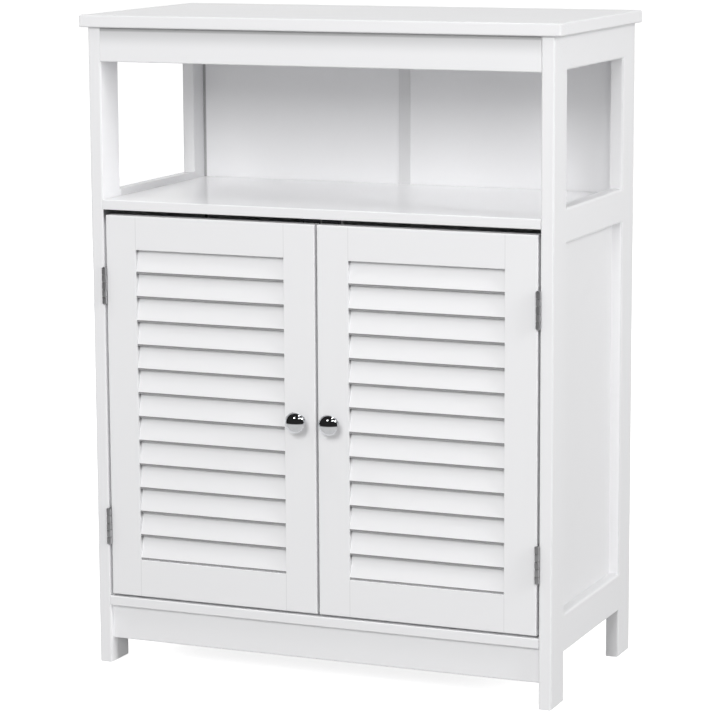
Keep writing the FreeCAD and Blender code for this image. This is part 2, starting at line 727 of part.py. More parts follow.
def knob(label, side):
    """Mushroom knob along its own Z, which points out of the door, with a blind screw bore.

    The silhouette is extruded once for each pair of facing flats, and the knob is what all of
    these have in common.
    """
    place = (f"{side} * {KNOB_X}", FRONT, "door_low + door_height / 2")
    turn = Rotation(Vector(1, 0, 0), 90)
    flank = [("knob_base_radius", "0"), ("knob_base_radius", "knob_base_height"),
             ("knob_stem_radius", "knob_base_height + knob_cove"),
             ("knob_stem_radius", "knob_neck"), ("knob_flare_radius", "knob_flare"),
             ("knob_radius", "knob_rim")]
    for step in KNOB_DOME_STEPS:
        flank.append((f"knob_radius * cos({step} * 1 deg)",
                      f"{KNOB_DOME_LOW} + {KNOB_DOME_RISE} * sin({step} * 1 deg)"))
    flank.append((KNOB_CROWN_RADIUS, "knob_projection"))
    silhouette = doc.addObject("Sketcher::SketchObject", f"{label}_silhouette")
    silhouette.Placement = FreeCAD.Placement(Vector(), Rotation(Vector(1, 0, 0), 90))
    outline(silhouette, flank + [(f"-({radius})", height) for radius, height in reversed(flank)])
    slabs = []
    for number in range(int(value("knob_flats / 2"))):
        slab = doc.addObject("Part::Extrusion", f"{label}_slab_{number + 1}")
        slab.Base = silhouette
        slab.DirMode = "Normal"
        slab.Solid = True
        slab.Symmetric = True
        slab.setExpression("LengthFwd", bound("2 * knob_radius + knob_base_radius"))
        slab.Placement = FreeCAD.Placement(Vector(), Rotation(Vector(0, 0, 1), 1))
        slab.setExpression("Placement.Rotation.Angle", bound(f"{number} * 360 deg / knob_flats"))
        slabs.append(slab)
    turning = doc.addObject("Part::MultiCommon", f"{label}_turning")
    turning.Shapes = slabs
    bore = turned(f"{label}_bore", [("knob_screw_radius", "0"),
                                    ("knob_screw_radius", "knob_bore_depth")],
                  "small_flats", ("0", "0", "0"), Rotation())
    bored = doc.addObject("Part::Cut", label)
    bored.Base = turning
    bored.Tool = bore
    bored.Placement = FreeCAD.Placement(Vector(), turn)
    for axis, expression in zip("xyz", place):
        bored.setExpression(f"Placement.Base.{axis}", bound(expression))
    return bored


def knob_screw(label, side):
    """Pan head machine screw from the back of the door into the knob."""
    place = (f"{side} * {KNOB_X}", f"{FRONT} + door_thick", "door_low + door_height / 2")
    turn = Rotation(Vector(1, 0, 0), 90)
    head = turned(f"{label}_head", [("knob_screw_head_radius", "-knob_screw_head"),
                                    ("knob_screw_head_radius", "0")], "small_flats", place, turn)
    shank = turned(f"{label}_shank", [("knob_screw_radius", "0"),
                                      ("knob_screw_radius", "knob_screw_length")],
                   "small_flats", place, turn)
    screw = doc.addObject("Part::Fuse", label)
    screw.Base = head
    screw.Tool = shank
    return screw


def striker(label, side):
    """Steel plate on the back of the door that the catch's magnet holds."""
    body = new_body(label, (f"{side} * {STRIKER_X}", f"{FRONT} + door_thick",
                            f"door_low + {STRIKER_Z}"))
    plate = add_sketch(body, "PlateOutline", "XZ_Plane")
    rectangle(plate, "-striker_width / 2", "-striker_height / 2",
              "striker_width / 2", "striker_height / 2")
    pad(body, plate, "Plate", "striker_thick", True)
    countersunk_holes(body, "ScrewHole", "XZ_Plane", "-striker_thick", [("0", "0")], True)
    return body


def magnetic_catch():
    """Catch housing under the open shelf with one magnet face for each door."""
    body = new_body("magnetic_catch", ("0", CATCH_Y, "open_shelf_low - catch_height"))
    housing = add_sketch(body, "HousingOutline", "XY_Plane")
    rectangle(housing, "-catch_width / 2", "0", "catch_width / 2", "catch_depth")
    pad(body, housing, "Housing", "catch_height")
    faces = add_sketch(body, "MagnetOutlines", "XZ_Plane")
    for side in SIDES.values():
        centre = f"{side} * {STRIKER_X}"
        rectangle(faces, f"{centre} - magnet_width / 2", "magnet_low",
                  f"{centre} + magnet_width / 2", "magnet_low + magnet_height")
    pad(body, faces, "Magnets", "magnet_proud")
    hole = add_sketch(body, "ScrewOutline", "XY_Plane")
    regular_polygon(hole, "0", "catch_depth / 2", "screw_radius + screw_play", "small_flats")
    pocket(body, hole, "ScrewHole", "catch_height", True)
    bevel_edges(body, "ScrewBevel", "screw_head_depth", lambda edge: (
        lies_at(edge, "Z", 0) and edge.Length < value("screw_radius")))
    return body


def cabinet_screws():
    """Screws of the frame leaves and of the catch."""
    screws = []
    for name, side in SIDES.items():
        screws += leaf_screws(f"{name}_frame_screw", side, False)
    screws.append(wood_screw(
        "catch_screw", ("0", f"{CATCH_Y} + catch_depth / 2", "open_shelf_low - catch_height"),
        Rotation(Vector(1, 0, 0), 180), "catch_screw_length"))
    return group("cabinet_screws", screws)


def door(name, side):
    """Every piece that swings with one door."""
    prefix = f"{name}_door"
    hinge_edge = f"{side} * ({INNER} - hinge_gap)"
    meeting_edge = f"{side} * meeting_gap / 2"
    left_shoulder = f"{side} * (meeting_gap / 2 + {DOOR_WIDTH} / 2) - {DOOR_OPENING} / 2"
    pieces = [
        door_stile(f"{prefix}_hinge_stile", hinge_edge, -side, True),
        door_stile(f"{prefix}_meeting_stile", meeting_edge, side, False),
        door_rail(f"{prefix}_top_rail", left_shoulder, "(door_height - door_top_rail)",
                  "door_top_rail", HIGH_TENON, True),
        door_rail(f"{prefix}_bottom_rail", left_shoulder, "0", "door_low_rail",
                  LOW_TENON, False),
    ]
    for number in range(int(value("slat_count"))):
        pieces.append(door_slat(f"{prefix}_slat_{number + 1:02d}", left_shoulder, number))
    leaves = [hinge_leaf(f"{prefix}_leaf_{number}", side, low, True)
              for number, low in enumerate(HINGE_LOWS, 1)]
    screws = leaf_screws(f"{prefix}_leaf_screw", side, True)
    screws.append(wood_screw(
        f"{prefix}_striker_screw",
        (f"{side} * {STRIKER_X}", f"{FRONT} + door_thick + striker_thick",
         f"door_low + {STRIKER_Z}"), Rotation(Vector(1, 0, 0), -90)))
    screws.append(knob_screw(f"{prefix}_knob_screw", side))
    pieces += [
        knob(f"{prefix}_knob", side),
        striker(f"{prefix}_striker", side),
        group(f"{prefix}_hinge_leaves", leaves),
        group(f"{prefix}_screws", screws),
    ]
    return pieces


def main():
    pieces = [top_panel(), front_apron(), open_shelf(),
              cross_board("bottom_panel", "bottom_panel_low"), front_plinth(),
              back_joining_strip(), inner_shelf(), shelf_pins(), magnetic_catch(),
              cabinet_screws()]
    leaves = []
    pins = []
    for name, side in SIDES.items():
        pieces += [side_frame(name, side), side_infill(name, side), back_panel(name, side)]
        pieces += door(name, side)
        for number, low in enumerate(HINGE_LOWS, 1):
            leaves.append(hinge_leaf(f"{name}_frame_leaf_{number}", side, low, False))
            pins.append(hinge_pin(f"{name}_{number}", side, low))
    pieces += [group("frame_hinge_leaves", leaves), group("hinge_pins", pins)]
    doc.recompute()

    for item in doc.Objects:
        if "Invalid" in item.State or "Error" in item.State:
            raise RuntimeError(f"{item.Label}: {item.State}")
    for piece in pieces:
        if piece.Shape.isNull() or not piece.Shape.isValid():
            raise RuntimeError(f"{piece.Label}: bad shape")
    os.makedirs("parts", exist_ok=True)
    for piece in pieces:
        piece.Shape.exportStep(f"parts/{piece.Label}.step")
    print(len(pieces), "pieces written")


main()
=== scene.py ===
"""Dresses the louvred door cabinet: paint, louvres, turned knobs, hinges, fittings and a studio."""

import json
import math

import bpy
import numpy as np
from mathutils import Matrix, Vector


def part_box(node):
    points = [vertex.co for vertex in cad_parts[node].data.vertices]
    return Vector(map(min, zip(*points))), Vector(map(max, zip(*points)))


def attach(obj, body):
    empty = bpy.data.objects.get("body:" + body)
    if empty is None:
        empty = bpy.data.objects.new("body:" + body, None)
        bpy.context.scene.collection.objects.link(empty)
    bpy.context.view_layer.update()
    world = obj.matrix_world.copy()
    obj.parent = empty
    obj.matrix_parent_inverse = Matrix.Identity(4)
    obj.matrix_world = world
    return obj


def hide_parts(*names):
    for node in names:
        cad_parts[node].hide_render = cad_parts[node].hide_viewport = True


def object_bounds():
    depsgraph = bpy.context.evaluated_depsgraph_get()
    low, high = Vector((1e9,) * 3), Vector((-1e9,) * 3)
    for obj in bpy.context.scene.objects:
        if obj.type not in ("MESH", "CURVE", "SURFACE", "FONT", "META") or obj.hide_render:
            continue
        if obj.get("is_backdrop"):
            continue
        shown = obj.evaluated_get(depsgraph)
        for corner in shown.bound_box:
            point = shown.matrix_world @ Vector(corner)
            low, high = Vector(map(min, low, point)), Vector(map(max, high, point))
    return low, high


bl_info = {
    "name": "Louvred Door Cabinet",
    "version": (1, 0, 0),
    "blender": (4, 5, 0),
    "location": "3D View > Sidebar > Cabinet",
    "description": "Paints the cabinet's boards and makes its louvres, knobs, hinges and fittings",
    "category": "Object",
}

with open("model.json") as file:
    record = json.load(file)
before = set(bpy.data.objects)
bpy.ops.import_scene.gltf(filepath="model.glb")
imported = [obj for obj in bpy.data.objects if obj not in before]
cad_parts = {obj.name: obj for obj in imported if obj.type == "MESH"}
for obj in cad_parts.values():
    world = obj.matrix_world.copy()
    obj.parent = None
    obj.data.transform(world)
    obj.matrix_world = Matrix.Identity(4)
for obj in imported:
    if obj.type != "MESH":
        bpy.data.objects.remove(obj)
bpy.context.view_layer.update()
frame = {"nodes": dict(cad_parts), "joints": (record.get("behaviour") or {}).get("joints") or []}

X, Y, Z = np.eye(3)
DOORS = {"left_door": -1, "right_door": 1}
MILLIMETRE = 0.001
WHITE = (1, 1, 1, 1)

FACING = (0.85, 0.95)         # part of a normal along an axis: not facing that way, and facing
LEAF_GAP = 0.0015             # hinge axis to the outer face of either leaf
LEAF_STEP = 0.0004            # barrel to the front edge of the leaves
PIN_RADIUS = 0.0015
PIN_PLAY = 0.00005            # between the pin and the barrel
KNUCKLE_PLAY = 0.0006         # between one knuckle and the next


def extent(node):
    """Lowest corner, middle and highest corner of a CAD node."""
    low, high = (np.array(corner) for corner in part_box(node))
    return low, (low + high) / 2, high


# ------------------------------------------------------------------ surfaces

def rounded_path(corners, closed=True, steps=5):
    """Outline through corners (a, b, radius) with its outward directions.

    Each corner becomes an arc: its centre lies on the corner's bisector at radius over the sine
    of half the corner's angle, and the directions along the arc turn evenly from one edge's
    normal to the next. A corner with no radius appears twice, once with each edge's normal.
    Corners run anticlockwise about the solid.
    """
    places = np.array([corner[:2] for corner in corners], float)
    radii = np.array([corner[2] if len(corner) > 2 else 0 for corner in corners], float)
    count = len(places)
    points = []
    normals = []
    for number in range(count):
        here = places[number]
        before = here - places[number - 1]
        after = places[(number + 1) % count] - here
        if not closed and number == 0:
            before = after
        if not closed and number == count - 1:
            after = before
        before = before / np.hypot(*before)
        after = after / np.hypot(*after)
        first = math.atan2(-before[0], before[1])
        turn = math.atan2(before[0] * after[1] - before[1] * after[0], before @ after)
        if abs(turn) < 1e-6:
            angles = np.array([first])
        elif radii[number] == 0:
            angles = np.array([first, first + turn])
        else:
            angles = np.linspace(first, first + turn, steps + 1)
        directions = np.stack([np.cos(angles), np.sin(angles)], 1)
        side = math.copysign(1, turn)
        reach = radii[number] * math.tan(abs(turn) / 2)
        centre = here - before * reach - side * radii[number] * directions[0]
        points.append(centre + side * radii[number] * directions)
        normals.append(directions)
    if closed:
        points.append(points[0][:1])
        normals.append(normals[0][:1])
    return np.concatenate(points), np.concatenate(normals)


def sweep(outline, length, place, axes, end_round=0.0, steps=3):
    """Outline carried along a straight line, with its two ends rounded.

    A point of ring v is the outline's point moved inwards along its normal by
    end_round * (1 - cos v), and along the line to length / 2 - end_round * (1 - sin v). The last
    ring closes on its own middle, facing along the line.
    """
    points, normals = outline
    across, upward, along = axes
    angles = np.linspace(0, math.pi / 2, steps + 1) if end_round else np.array([0.0])
    inset = end_round * (1 - np.cos(angles))
    travel = length / 2 - end_round * (1 - np.sin(angles))
    inset = np.concatenate([inset[::-1], inset])
    travel = np.concatenate([-travel[::-1], travel])
    lean = np.concatenate([-np.sin(angles[::-1]), np.sin(angles)])
    flat = points[None] - inset[:, None, None] * normals[None]
    rings = (place + flat[..., :1] * across + flat[..., 1:] * upward
             + travel[:, None, None] * along)
    outward = normals[:, :1] * across + normals[:, 1:] * upward
    facing = (np.sqrt(1 - lean ** 2)[:, None, None] * outward[None]
              + lean[:, None, None] * along)
    grids = [(rings, facing)]
    for ring, direction in ((rings[0], -along), (rings[-1], along)):
        middle = np.broadcast_to(ring.mean(0), ring.shape)
        pair = np.stack([middle, ring] if direction is not along else [ring, middle])
        grids.append((pair, np.broadcast_to(direction, pair.shape)))
    return grids


def square_to(axis):
    """Two directions that are square to an axis and to each other."""
    start = Z if abs(axis @ Z) < 0.5 else X
    return start, np.cross(axis, start)


def turned(profile, place, axis, sides):
    """Profile of (radius, height) turned about an axis.

    The point at angle u is place + radius * (cos u * e + sin u * f) + height * axis, where e and
    f are the two directions square to the axis, and its normal turns with it.
    """
    points, normals = profile
    start, other = square_to(axis)
    angles = np.linspace(0, 2 * math.pi, sides + 1)
    spokes = np.cos(angles)[:, None] * start + np.sin(angles)[:, None] * other
    rings = (np.asarray(place, float) + points[:, 0, None, None] * spokes[None]
             + points[:, 1, None, None] * axis)
    facing = normals[:, 0, None, None] * spokes[None] + normals[:, 1, None, None] * axis
    return [(rings, facing)]


def recessed_head(radius, dome, recess, place, axis, sides):
    """Screw head's outer face with a cross recess.

    Height is dome * (1 - (r / radius)^2), less recess * bar, where bar is 1 inside either of two
    crossed bars and falls smoothly to 0 at their edges and ends. Normals follow from the
    differences between neighbours.
    """
    start, other = square_to(axis)
    rings = 14
    half_width, half_length, flank, end = radius * np.array([0.17, 0.56, 0.07, 0.12])
    ring = radius * np.linspace(0, 1, rings)[:, None]
    angle = np.linspace(0, 2 * math.pi, sides + 1)[None]
    a = ring * np.cos(angle)
    b = ring * np.sin(angle)

    def bar(long_way, short_way):
        width = np.clip((half_width - np.abs(short_way)) / flank + 0.5, 0, 1)
        reach = np.clip((half_length - np.abs(long_way)) / end + 0.5, 0, 1)
        return width * reach

    cross = np.maximum(bar(a, b), bar(b, a))
    height = dome * (1 - (ring / radius) ** 2) - recess * cross
    points = (np.asarray(place, float) + a[..., None] * start + b[..., None] * other
              + height[..., None] * axis)
    return [(points[::-1], None)]


def rectangle(width, height, radius, steps):
    """Outline of a rectangle about its middle with rounded corners."""
    a = width / 2
    b = height / 2
    return rounded_path([(-a, -b, radius), (a, -b, radius), (a, b, radius), (-a, b, radius)],
                        steps=steps)


def block(low, high, radius, along, steps):
    """Board between two corners with every edge rounded: a rounded rectangle swept along it."""
    low = np.asarray(low, float)
    high = np.asarray(high, float)
    size = high - low
    across = (along + 1) % 3
    upward = (along + 2) % 3
    axes = (np.eye(3)[across], np.eye(3)[upward], np.eye(3)[along])
    outline = rectangle(size[across], size[upward], radius, steps)
    return sweep(outline, size[along], (low + high) / 2, axes, radius, steps)


def build(name, grids, body, finish, nodes=()):
    """One mesh of all the grids, closed where they meet, with the normals that they carry.

    Every four neighbours of a grid make two triangles. Points closer than a thousandth of a
    millimetre become one, and triangles that lose a side go.
    """
    corners, facing, triangles = [], [], []
    total = 0
    for points, normals in grids:
        rows, columns = points.shape[:2]
        if normals is None:
            down = np.gradient(points, axis=0)
            right = np.gradient(points, axis=1)
            right[:, [0, -1]] = (points[:, [1]] - points[:, [-2]]) / 2
            normals = np.cross(right, down)
            normals[-1] = normals[-2].mean(0)
        index = np.arange(rows * columns).reshape(rows, columns)
        a, b, c, d = index[:-1, :-1], index[:-1, 1:], index[1:, 1:], index[1:, :-1]
        faces = np.concatenate([np.stack([a, b, c], -1).reshape(-1, 3),
                                np.stack([a, c, d], -1).reshape(-1, 3)])
        flat = points.reshape(-1, 3)
        sides = flat[faces]
        upright = np.cross(sides[:, 1] - sides[:, 0], sides[:, 2] - sides[:, 0])
        outward = normals.reshape(-1, 3)[faces].sum(1)
        if (upright * outward).sum() < 0:
            faces = faces[:, ::-1]
        corners.append(flat)
        facing.append(normals.reshape(-1, 3))
        triangles.append(faces + total)
        total += rows * columns
    corners = np.concatenate(corners)
    facing = np.concatenate(facing)
    triangles = np.concatenate(triangles)
    facing /= np.maximum(np.linalg.norm(facing, axis=1, keepdims=True), 1e-9)
    _, first, merged = np.unique(np.round(corners / MILLIMETRE, 3), axis=0,
                                 return_index=True, return_inverse=True)
    merged = merged.reshape(-1)[triangles]
    whole = ((merged[:, 0] != merged[:, 1]) & (merged[:, 1] != merged[:, 2])
             & (merged[:, 2] != merged[:, 0]))
    mesh = bpy.data.meshes.new(name)
    mesh.from_pydata(corners[first], [], merged[whole])
    mesh.shade_smooth()
    mesh.normals_split_custom_set(facing[triangles[whole]].reshape(-1, 3))
    mesh.materials.append(finish)
    if mesh.validate():
        raise RuntimeError(f"{name}: its mesh has faults")
    piece = bpy.data.objects.new(name, mesh)
    bpy.context.scene.collection.objects.link(piece)
    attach(piece, body)
    if nodes:
        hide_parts(*nodes)


# ------------------------------------------------------------------ finishes

class Signal:
    """Output socket of a shader node that Python's arithmetic joins with Math nodes."""

    def __init__(self, nodes, output):
        self.nodes = nodes
        self.output = output

    def _math(self, operation, first, second):
        return self.nodes.node("ShaderNodeMath", {"operation": operation}, {0: first, 1: second})

    def __add__(self, other):
        return self._math("ADD", self, other)

    def __radd__(self, other):
        return self._math("ADD", other, self)

    def __sub__(self, other):
        return self._math("SUBTRACT", self, other)

    def __rsub__(self, other):
        return self._math("SUBTRACT", other, self)

    def __mul__(self, other):
        return self._math("MULTIPLY", self, other)

    def __rmul__(self, other):
        return self._math("MULTIPLY", other, self)


class Nodes:
    """Node tree, emptied at first and then filled with one call for each node."""

    def __init__(self, tree):
        self.tree = tree
        tree.nodes.clear()

    def node(self, kind, settings=None, sockets=None, output=0):
        """Add a node: its settings, then the values or links of its sockets."""
        added = self.tree.nodes.new(kind)
        for setting, choice in (settings or {}).items():
            setattr(added, setting, choice)
        for socket, feed in (sockets or {}).items():
            self.feed(added.inputs[socket], feed)
        return Signal(self, added.outputs[output])

    def feed(self, socket, feed):
        """Link a signal into a socket, or set the socket's own value."""
        if isinstance(feed, Signal):
            self.tree.links.new(feed.output, socket)
        else:
            socket.default_value = feed

    def result(self, kind, signal):
        """Add the tree's output node and link the finished shader into it."""
        self.feed(self.tree.nodes.new(kind).inputs[0], signal)

    def along(self, vector):
        """Parts of a vector along X, Y and Z."""
        split = self.node("ShaderNodeSeparateXYZ", {}, {0: vector}).output.node
        return [Signal(self, output) for output in split.outputs]

    def size(self, signal):
        """The signal without its sign."""
        return self.node("ShaderNodeMath", {"operation": "ABSOLUTE"}, {0: signal})

    def ramp(self, signal, low, high):
        """0 below low and 1 above high, with a smooth climb between."""
        return self.node("ShaderNodeMapRange", {"interpolation_type": "SMOOTHSTEP"}, {
            "Value": signal, "From Min": low, "From Max": high})

    def near(self, signal, middle, reach, soft):
        """1 within reach of a middle value, falling to 0 over the soft distance outside it."""
        return 1 - self.ramp(self.size(signal - middle), reach, reach + soft)

    def between(self, signal, low, high, soft):
        """1 from low to high, falling to 0 over the soft distance outside them."""
        return self.near(signal, (low + high) / 2, (high - low) / 2, soft)

    def mix(self, factor, first, second):
        """Colour between two others."""
        return self.node("ShaderNodeMix", {"data_type": "RGBA"}, {0: factor, 6: first, 7: second},
                         output=2)

    def tints(self, factor, colour, low, high):
        """Colour between two tints of one colour."""
        return self.mix(factor, tint(colour, low), tint(colour, high))


class Finish(Nodes):
    """Material around one Principled shader, whose constants sit on the shader's own sockets."""

    def __init__(self, name, **constants):
        self.material = bpy.data.materials.new(name)
        self.material.use_nodes = True
        super().__init__(self.material.node_tree)
        surface = self.node("ShaderNodeBsdfPrincipled", {}, {
            socket.replace("_", " "): constant for socket, constant in constants.items()})
        self.result("ShaderNodeOutputMaterial", surface)
        self.shader = surface.output.node
        self.place = self.node("ShaderNodeTexCoord", output="Object")
        self.facing = self.node("ShaderNodeTexCoord", output="Normal")

    def stretched(self, scale):
        """Object coordinates multiplied along each axis."""
        return self.node("ShaderNodeMapping", {}, {"Vector": self.place, "Scale": scale})

    def noise(self, scale, detail=2.0, where=None, roughness=0.5):
        """Noise from 0 to 1; scale counts its lumps in a metre."""
        return self.node("ShaderNodeTexNoise", {}, {
            "Vector": where or self.place, "Scale": scale, "Detail": detail,
            "Roughness": roughness})

    def colour(self, signal):
        self.feed(self.shader.inputs["Base Color"], signal)

    def roughness(self, signal):
        self.feed(self.shader.inputs["Roughness"], signal)

    def bump(self, height, depth):
        relief = self.node("ShaderNodeBump", {}, {
            "Strength": 1.0, "Distance": depth, "Height": height})
        self.feed(self.shader.inputs["Normal"], relief)


def tint(colour, factor):
    """The colour made darker or lighter, as four numbers."""
    return (*[min(1.0, part * factor) for part in colour[:3]], 1.0)


def made(name, maker):
    """The material of that name, made the first time it is asked for."""
    if name not in bpy.data.materials:
        maker(name)
    return bpy.data.materials[name]


def from_slat(finish, height):
    """Height above the middle of the nearest slat."""
    middles = [extent(node)[1][2] for node in frame["nodes"] if node.startswith("left_door_slat")]
    lowest = min(middles)
    step = (max(middles) - lowest) / (len(middles) - 1)
    return finish.node("ShaderNodeMath", {"operation": "WRAP"},
                       {0: height - lowest, 1: step / 2, 2: -step / 2})


def light_shade_and_joint_marks(finish):
    """Painted light and shade on the boards, and the grey of their joints: each mask with its tint.

    Painted light lifts the narrow faces across a door's gaps and the faces in the sides' recesses.
    Painted shade darkens the outer corners against their highlight, the apron under the top
    panel's overhang, the sides under the open shelf, and the stiles where the slats enter them.
    Grey runs along the joints of rails and stiles.
    """
    ramp, near, between = finish.ramp, finish.near, finish.between
    door_low, _, door_high = extent("right_door_hinge_stile")
    meeting_low, _, meeting_high = extent("right_door_meeting_stile")
    rail_low, _, rail_high = extent("right_door_bottom_rail")
    head = extent("right_door_top_rail")[0][2]
    shelf_low, _, shelf_high = extent("open_shelf")
    infill_low, _, infill_high = extent("right_side_infill")
    side_face = shelf_high[0]
    eaves = extent("front_apron")[2][2]
    hair, edge = 0.0004, 0.0003
    across, depth, height = finish.along(finish.place)
    side, front, up = finish.along(finish.facing)
    reach = finish.size(across)
    sideways = ramp(finish.size(side), *FACING)
    forward = ramp(-1 * front, *FACING)

    # painted light: the narrow faces across the doors' gaps, and the front legs' inner faces by the
    # open shelf, are drawn lighter
    behind_door = ramp(depth, door_high[1] - 0.0005, door_high[1] + 0.0015)
    behind_leg = ramp(depth, infill_low[1] + 0.0105, infill_low[1] + 0.0125)
    beside = ((1 - behind_door) * between(height, 0, door_high[2] - 0.003, 0.004)
              + (1 - behind_leg) * between(height, shelf_high[2] + 0.0025, eaves - 0.025, 0.004))
    beside_door = between(reach, door_high[0] - hair, side_face + hair, hair)
    between_doors = 1 - ramp(reach, meeting_low[0] + edge, meeting_low[0] + edge + hair)
    narrow_face_light = (sideways * (beside_door * beside + between_doors)
            + ramp(-1 * up, *FACING) * near(height, door_low[2], hair, edge)
            + ramp(up, *FACING) * near(height, rail_high[2], hair, edge))

    # painted shadow under the top panel's overhang: a soft grey down the apron and a darker line
    # just below the top
    apron = (forward * near(reach, 0, side_face - edge, edge)
             * (1 - ramp(height, eaves - 0.0001, eaves + 0.0001)))
    overhang_shadow = apron * ramp(height, eaves - 0.0250, eaves)
    overhang_shadow_line = apron * ramp(height, eaves - 0.0055, eaves - 0.0030)

    # painted shade on the sides' inner faces just under the open shelf
    shelf_shadow = (sideways * near(reach, side_face, hair, edge)
                   * ramp(height, shelf_low[2] - 0.0205, shelf_low[2] - 0.0035)
                   * (1 - ramp(height, shelf_low[2] + 0.0005, shelf_low[2] + 0.0015))
                   * (1 - ramp(depth, shelf_high[1] - 0.0015, shelf_high[1] + 0.0005)))

    ends = near(reach, door_low[0], edge, edge) + near(reach, meeting_high[0], edge, edge)
    rails = (between(height, door_low[2], door_high[2], 0.0005)
             - between(height, rail_high[2], head, 0.0005))
    joints = forward * ends * rails * (1 - ramp(depth, door_low[1] + 0.0001, door_low[1] + 0.0005))

    # painted shade: the outer rounded corners are drawn darker to dull their highlight
    corners = (ramp(finish.size(side), 0.4, 0.5) * ramp(finish.size(front), 0.4, 0.5)
               * ramp(reach, side_face + 0.010, side_face + 0.012))

    # painted light: in the sides' recesses, faces pointing down and faces pointing to the front are
    # drawn lighter (tints in the list below)
    inside = 0.005
    recess = (between(height, infill_low[2] + inside, infill_high[2] - inside, 0.001)
              * between(depth, infill_low[1] + inside, infill_high[1] - inside, 0.001)
              * ramp(reach, side_face + 0.0015, side_face + 0.0025))

    # painted shade on the stiles' inner faces where the slats enter, darkest under each slat's top
    slot_shade = (sideways * between(reach, rail_low[0] - 0.0025, rail_high[0] + 0.002, 0.002)
             * ramp(depth, door_low[1] + 0.0005, door_low[1] + 0.0030)
             * ramp(from_slat(finish, height), 0.0040, 0.0105))

    # tints above 1 are painted light and tints below 1 painted shade, all but the joints' grey
    return [(narrow_face_light, 1.24), (overhang_shadow, 0.76), (overhang_shadow_line, 0.50), (shelf_shadow, 0.2),
            (joints, 0.88), (corners, 0.88), (recess * ramp(-1 * up, 0.4, 0.6), 1.26),
            (recess * forward, 1.14), (slot_shade, 0.35)]


def satin_paint(name):
    """Sprayed satin paint over fibreboard: faint clouding, orange peel, a dulled sheen, grey
    joints, and painted light and shade.
    """
    paint = bpy.context.scene.cabinet_paint
    finish = Finish(name, IOR=1.46, Specular_IOR_Level=0.4)
    clouds = finish.noise(7.0)
    peel = finish.noise(520.0)
    specks = finish.noise(1900.0, 3.0, roughness=0.6)
    colour = paint.colour
    shade = finish.tints(clouds, colour, 1 - paint.clouding, 1)
    shade = finish.mix(specks, shade, tint(colour, 1.01))
    # painted light and shade from the masks, and the grey of the joints
    for mask, factor in light_shade_and_joint_marks(finish):
        shade = finish.mix(mask, shade, tint(colour, factor))
    finish.colour(shade)
    finish.roughness(paint.roughness + 0.10 * (clouds - 0.5) + 0.08 * (specks - 0.5))
    finish.bump(0.7 * peel + 0.3 * specks, paint.orange_peel)


def slat_paint(name):
    """Sprayed paint on a slat, with painted shadow greying it towards its top, where the next slat
    overlaps it.

    Painted light lifts the lowest slat's underside, where it lies close over the rail.
    """
    paint = bpy.context.scene.cabinet_paint
    finish = Finish(name, IOR=1.46, Specular_IOR_Level=0.4)
    clouds = finish.noise(7.0)
    peel = finish.noise(520.0)
    runs = finish.noise(1.0, 2.0, finish.stretched((40.0, 900.0, 900.0)))
    height = finish.along(finish.place)[2]
    offset = from_slat(finish, height)
    _, front, up = finish.along(finish.facing)
    forward = finish.ramp(-1 * front, 0.5, 0.9)
    rail_top = extent("left_door_bottom_rail")[2][2]
    # painted shadow: greyer towards each slat's top, under the slat above
    slat_shadow = forward * finish.ramp(offset, 0.0030, 0.0104)
    # painted light: the lowest slat's underside over the rail is drawn lighter
    rail_gap_light = (finish.ramp(-1 * up, 0.2, 0.5)
                 * (1 - finish.ramp(height, rail_top + 0.0035, rail_top + 0.0040)))
    # painted shadow: a dark line where the next slat overlaps
    overlap_shadow = forward * finish.ramp(offset + 0.0004 * (runs - 0.5), 0.0106, 0.0113)
    shade = finish.tints(clouds, paint.colour, 0.99, 1.02)
    for mask, factor in ((slat_shadow, 0.86), (rail_gap_light, 1.26), (overlap_shadow, 0.34)):
        shade = finish.mix(mask, shade, tint(paint.colour, factor))
    finish.colour(shade)
    finish.roughness(paint.roughness + 0.10 * (clouds - 0.5))
    finish.bump(peel, paint.orange_peel)


def melamine(name):
    """White melamine on a shelf's upper face, drawn lighter in part as painted light; plain paint
    round its edges; painted light on faces that point down.
    """
    paint = bpy.context.scene.cabinet_paint
    finish = Finish(name, IOR=1.46, Specular_IOR_Level=0.4, Coat_Roughness=0.12)
    upright = finish.along(finish.facing)[2]
    flat = finish.ramp(upright, 0.6, 0.9)
    grain = finish.noise(700.0, 3.0)
    clouds = finish.noise(6.0)
    edge = finish.tints(clouds, paint.colour, 1 - paint.clouding, 1)
    # upward faces: whiter melamine than the paint, a lift that is partly painted light
    face = finish.tints(grain, paint.colour, 1.18, 1.22)
    shade = finish.mix(flat, edge, face)
    # painted light: faces that point down are drawn lighter
    finish.colour(finish.mix(finish.ramp(-1 * upright, 0.3, 0.5), shade, tint(paint.colour, 1.26)))
    finish.roughness(paint.roughness + 0.08 * (grain - 0.5))
    finish.feed(finish.shader.inputs["Coat Weight"], 0.6 * flat)
    finish.bump(grain, paint.orange_peel)


